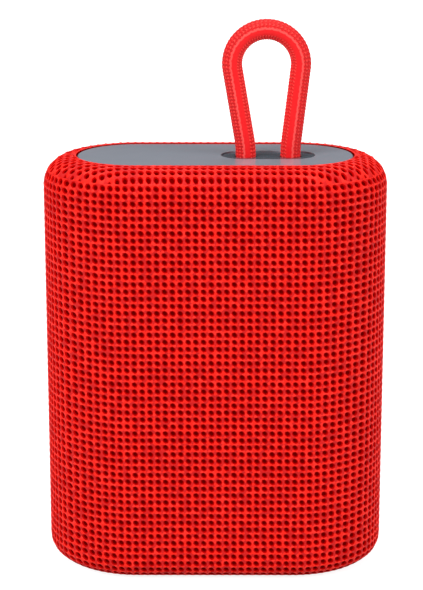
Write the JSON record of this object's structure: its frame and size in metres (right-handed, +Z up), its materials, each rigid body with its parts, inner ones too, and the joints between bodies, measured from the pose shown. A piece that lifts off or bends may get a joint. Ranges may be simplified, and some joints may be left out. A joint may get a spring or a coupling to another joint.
{
  "type": "portable loudspeaker",
  "caption": "Compact wireless loudspeaker: an upright rounded housing in a stretch mesh sleeve, with a braided cord carry loop standing out of its top plate and a control panel behind.",
  "frame": {"origin": "on the ground under the middle of the body, at the underside of the foot pad", "axes": "+Z up to the carry loop, -Y out of the front that faces the listener, +X to the right seen from the front"},
  "size_m": [0.093, 0.051, 0.1501],
  "materials": {
    "red_mesh": "stretch polyester mesh with a square grid of holes, bright red",
    "red_cord": "round braided polyester cord, red",
    "grey_plate": "fine matt moulded plate, cool mid grey",
    "cup_grey": "fine matt moulded cup, darker grey",
    "panel_grey": "fine matt moulded panel, cool mid grey",
    "base_abs": "fine matt moulded plate",
    "button_rubber": "silicone rubber caps, darker grey",
    "cover_rubber": "soft moulded elastomer",
    "soft_rubber": "soft black rubber",
    "black_abs": "moulded ABS, as moulded",
    "screw_steel": "zinc-plated steel",
    "zinc_steel": "zinc-plated steel",
    "basket_steel": "pressed steel, black paint",
    "connector_steel": "nickel-plated shell",
    "ferrule_aluminium": "crimped aluminium",
    "ferrite": "sintered ferrite",
    "coil_copper": "enamelled copper wire and tinned tags",
    "cone_pulp": "pressed paper pulp, black",
    "spider_cloth": "resin-stiffened cotton cloth",
    "circuit_board": "solder mask over glass epoxy",
    "chip_epoxy": "black moulded epoxy",
    "socket_nylon": "moulded nylon, ivory",
    "wire_pvc": "PVC insulation",
    "cell_foil": "laminated aluminium pouch",
    "clear_pipe": "clear moulded acrylic"
  },
  "bodies": {
    "speaker_body": {"mesh_sleeve": "red_mesh", "core_housing": "black_abs", "top_deck": "black_abs", "deck_screws": "screw_steel", "top_plate": "grey_plate", "loop_cup": "cup_grey", "cup_screws": "screw_steel", "loop_tails": "red_cord", "loop_ferrules": "ferrule_aluminium", "base_plate": "base_abs", "base_screws": "screw_steel", "foot_pad": "soft_rubber", "front_grille": "black_abs", "driver_gasket": "soft_rubber", "driver_basket": "basket_steel", "driver_screws": "screw_steel", "driver_surround": "soft_rubber", "driver_spider": "spider_cloth", "magnet_washer": "zinc_steel", "magnet_ring": "ferrite", "magnet_yoke": "zinc_steel", "driver_terminals": "coil_copper", "rear_grille": "black_abs", "radiator_frame": "black_abs", "radiator_surround": "soft_rubber", "electronics_tray": "black_abs", "tray_screws": "screw_steel", "wire_grommets": "soft_rubber", "main_board": "circuit_board", "board_screws": "screw_steel", "wireless_module": "zinc_steel", "board_components": "chip_epoxy", "usb_c_port": "connector_steel", "card_socket": "connector_steel", "wire_sockets": "socket_nylon", "speaker_wires": "wire_pvc", "battery_wires": "wire_pvc", "battery_cell": "cell_foil", "battery_tray": "black_abs", "protection_board": "circuit_board", "control_panel": "panel_grey", "button_board": "circuit_board", "ribbon_cable": "socket_nylon", "tact_switches": "chip_epoxy", "status_led": "socket_nylon", "light_pipe": "clear_pipe", "microphone": "soft_rubber", "port_cover_anchor": "cover_rubber"},
    "carry_loop": {"carry_loop": "red_cord"},
    "power_button": {"power_button": "button_rubber"},
    "minus_button": {"minus_button": "button_rubber"},
    "play_button": {"play_button": "button_rubber"},
    "plus_button": {"plus_button": "button_rubber"},
    "mode_button": {"mode_button": "button_rubber"},
    "port_cover": {"port_cover": "cover_rubber"},
    "driver_cone": {"driver_cone": "cone_pulp", "dust_cap": "cone_pulp", "voice_coil": "coil_copper"},
    "radiator_plate": {"radiator_plate": "zinc_steel"}
  },
  "joints": [
    {"name": "loop_fold", "type": "hinge", "parent": "speaker_body", "child": "carry_loop", "pos_m": [0.01425, 0, 0.116], "axis": [1, 0, 0], "range_deg": [-40, 40], "stiffness_Nm_per_rad": 0.02},
    {"name": "power_press", "type": "slide", "parent": "speaker_body", "child": "power_button", "axis": [0, -1, 0], "range_m": [0, 0.0004], "stiffness_N_per_m": 600},
    {"name": "minus_press", "type": "slide", "parent": "speaker_body", "child": "minus_button", "axis": [0, -1, 0], "range_m": [0, 0.0004], "stiffness_N_per_m": 600},
    {"name": "play_press", "type": "slide", "parent": "speaker_body", "child": "play_button", "axis": [0, -1, 0], "range_m": [0, 0.0004], "stiffness_N_per_m": 600},
    {"name": "plus_press", "type": "slide", "parent": "speaker_body", "child": "plus_button", "axis": [0, -1, 0], "range_m": [0, 0.0004], "stiffness_N_per_m": 600},
    {"name": "mode_press", "type": "slide", "parent": "speaker_body", "child": "mode_button", "axis": [0, -1, 0], "range_m": [0, 0.0004], "stiffness_N_per_m": 600},
    {"name": "cover_open", "type": "hinge", "parent": "speaker_body", "child": "port_cover", "pos_m": [0, 0.0245, 0.076], "axis": [-1, 0, 0], "range_deg": [0, 110], "stiffness_Nm_per_rad": 0.004},
    {"name": "cone_travel", "type": "slide", "parent": "speaker_body", "child": "driver_cone", "axis": [0, -1, 0], "range_m": [-0.0012, 0.0012], "stiffness_N_per_m": 1500, "deforming": ["driver_surround", "driver_spider"]},
    {"name": "radiator_travel", "type": "slide", "parent": "speaker_body", "child": "radiator_plate", "axis": [0, 1, 0], "range_m": [-0.0018, 0.0018], "stiffness_N_per_m": 1200, "deforming": ["radiator_surround"]}
  ]
}
